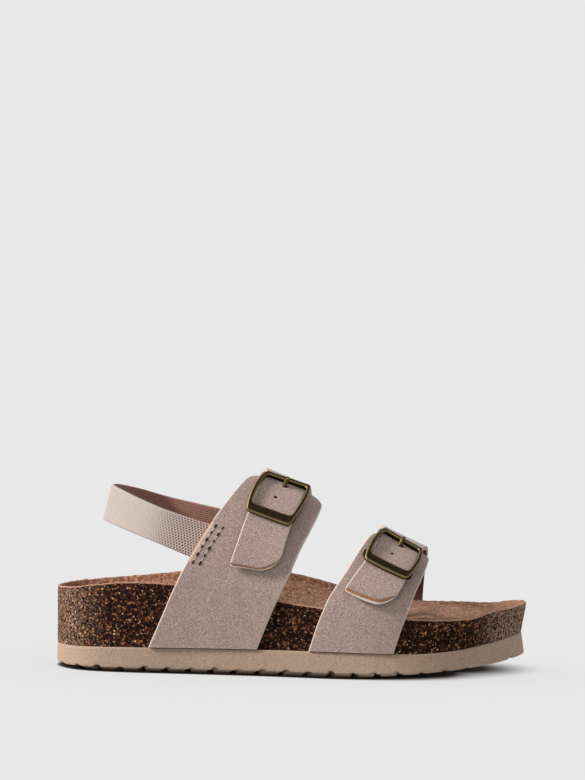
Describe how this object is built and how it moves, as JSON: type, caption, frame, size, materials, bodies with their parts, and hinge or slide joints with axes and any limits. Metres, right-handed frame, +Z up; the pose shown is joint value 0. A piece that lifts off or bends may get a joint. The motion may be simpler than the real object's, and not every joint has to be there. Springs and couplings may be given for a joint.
{
  "type": "double-buckle sandal",
  "caption": "Child's right-foot open sandal with contoured cork footbed, suede-lined insole, buckled suede straps over instep and toes, elastic heel strap and ribbed EVA outsole",
  "frame": {"origin": "centre of the bounding box, on the floor", "axes": "+X from heel to toe, +Y towards the inner (big toe) side, +Z up"},
  "size_m": [0.1684, 0.0727, 0.0724],
  "materials": {
    "eva": "matte moulded foam",
    "cork": "dark pressed cork granules",
    "suede_lining": "brown suede",
    "taupe_suede": "taupe suede with fine nap",
    "elastic": "ribbed woven elastic",
    "antique_brass": "darkened brass"
  },
  "bodies": {
    "root": {"outsole": "eva", "cork_footbed": "cork", "insole": "suede_lining", "instep_strap_outer": "taupe_suede", "instep_strap_inner": "taupe_suede", "instep_buckle": "antique_brass", "instep_prong": "antique_brass", "toe_strap_outer": "taupe_suede", "toe_strap_inner": "taupe_suede", "toe_buckle": "antique_brass", "toe_prong": "antique_brass", "heel_elastic": "elastic"}
  },
  "joints": []
}
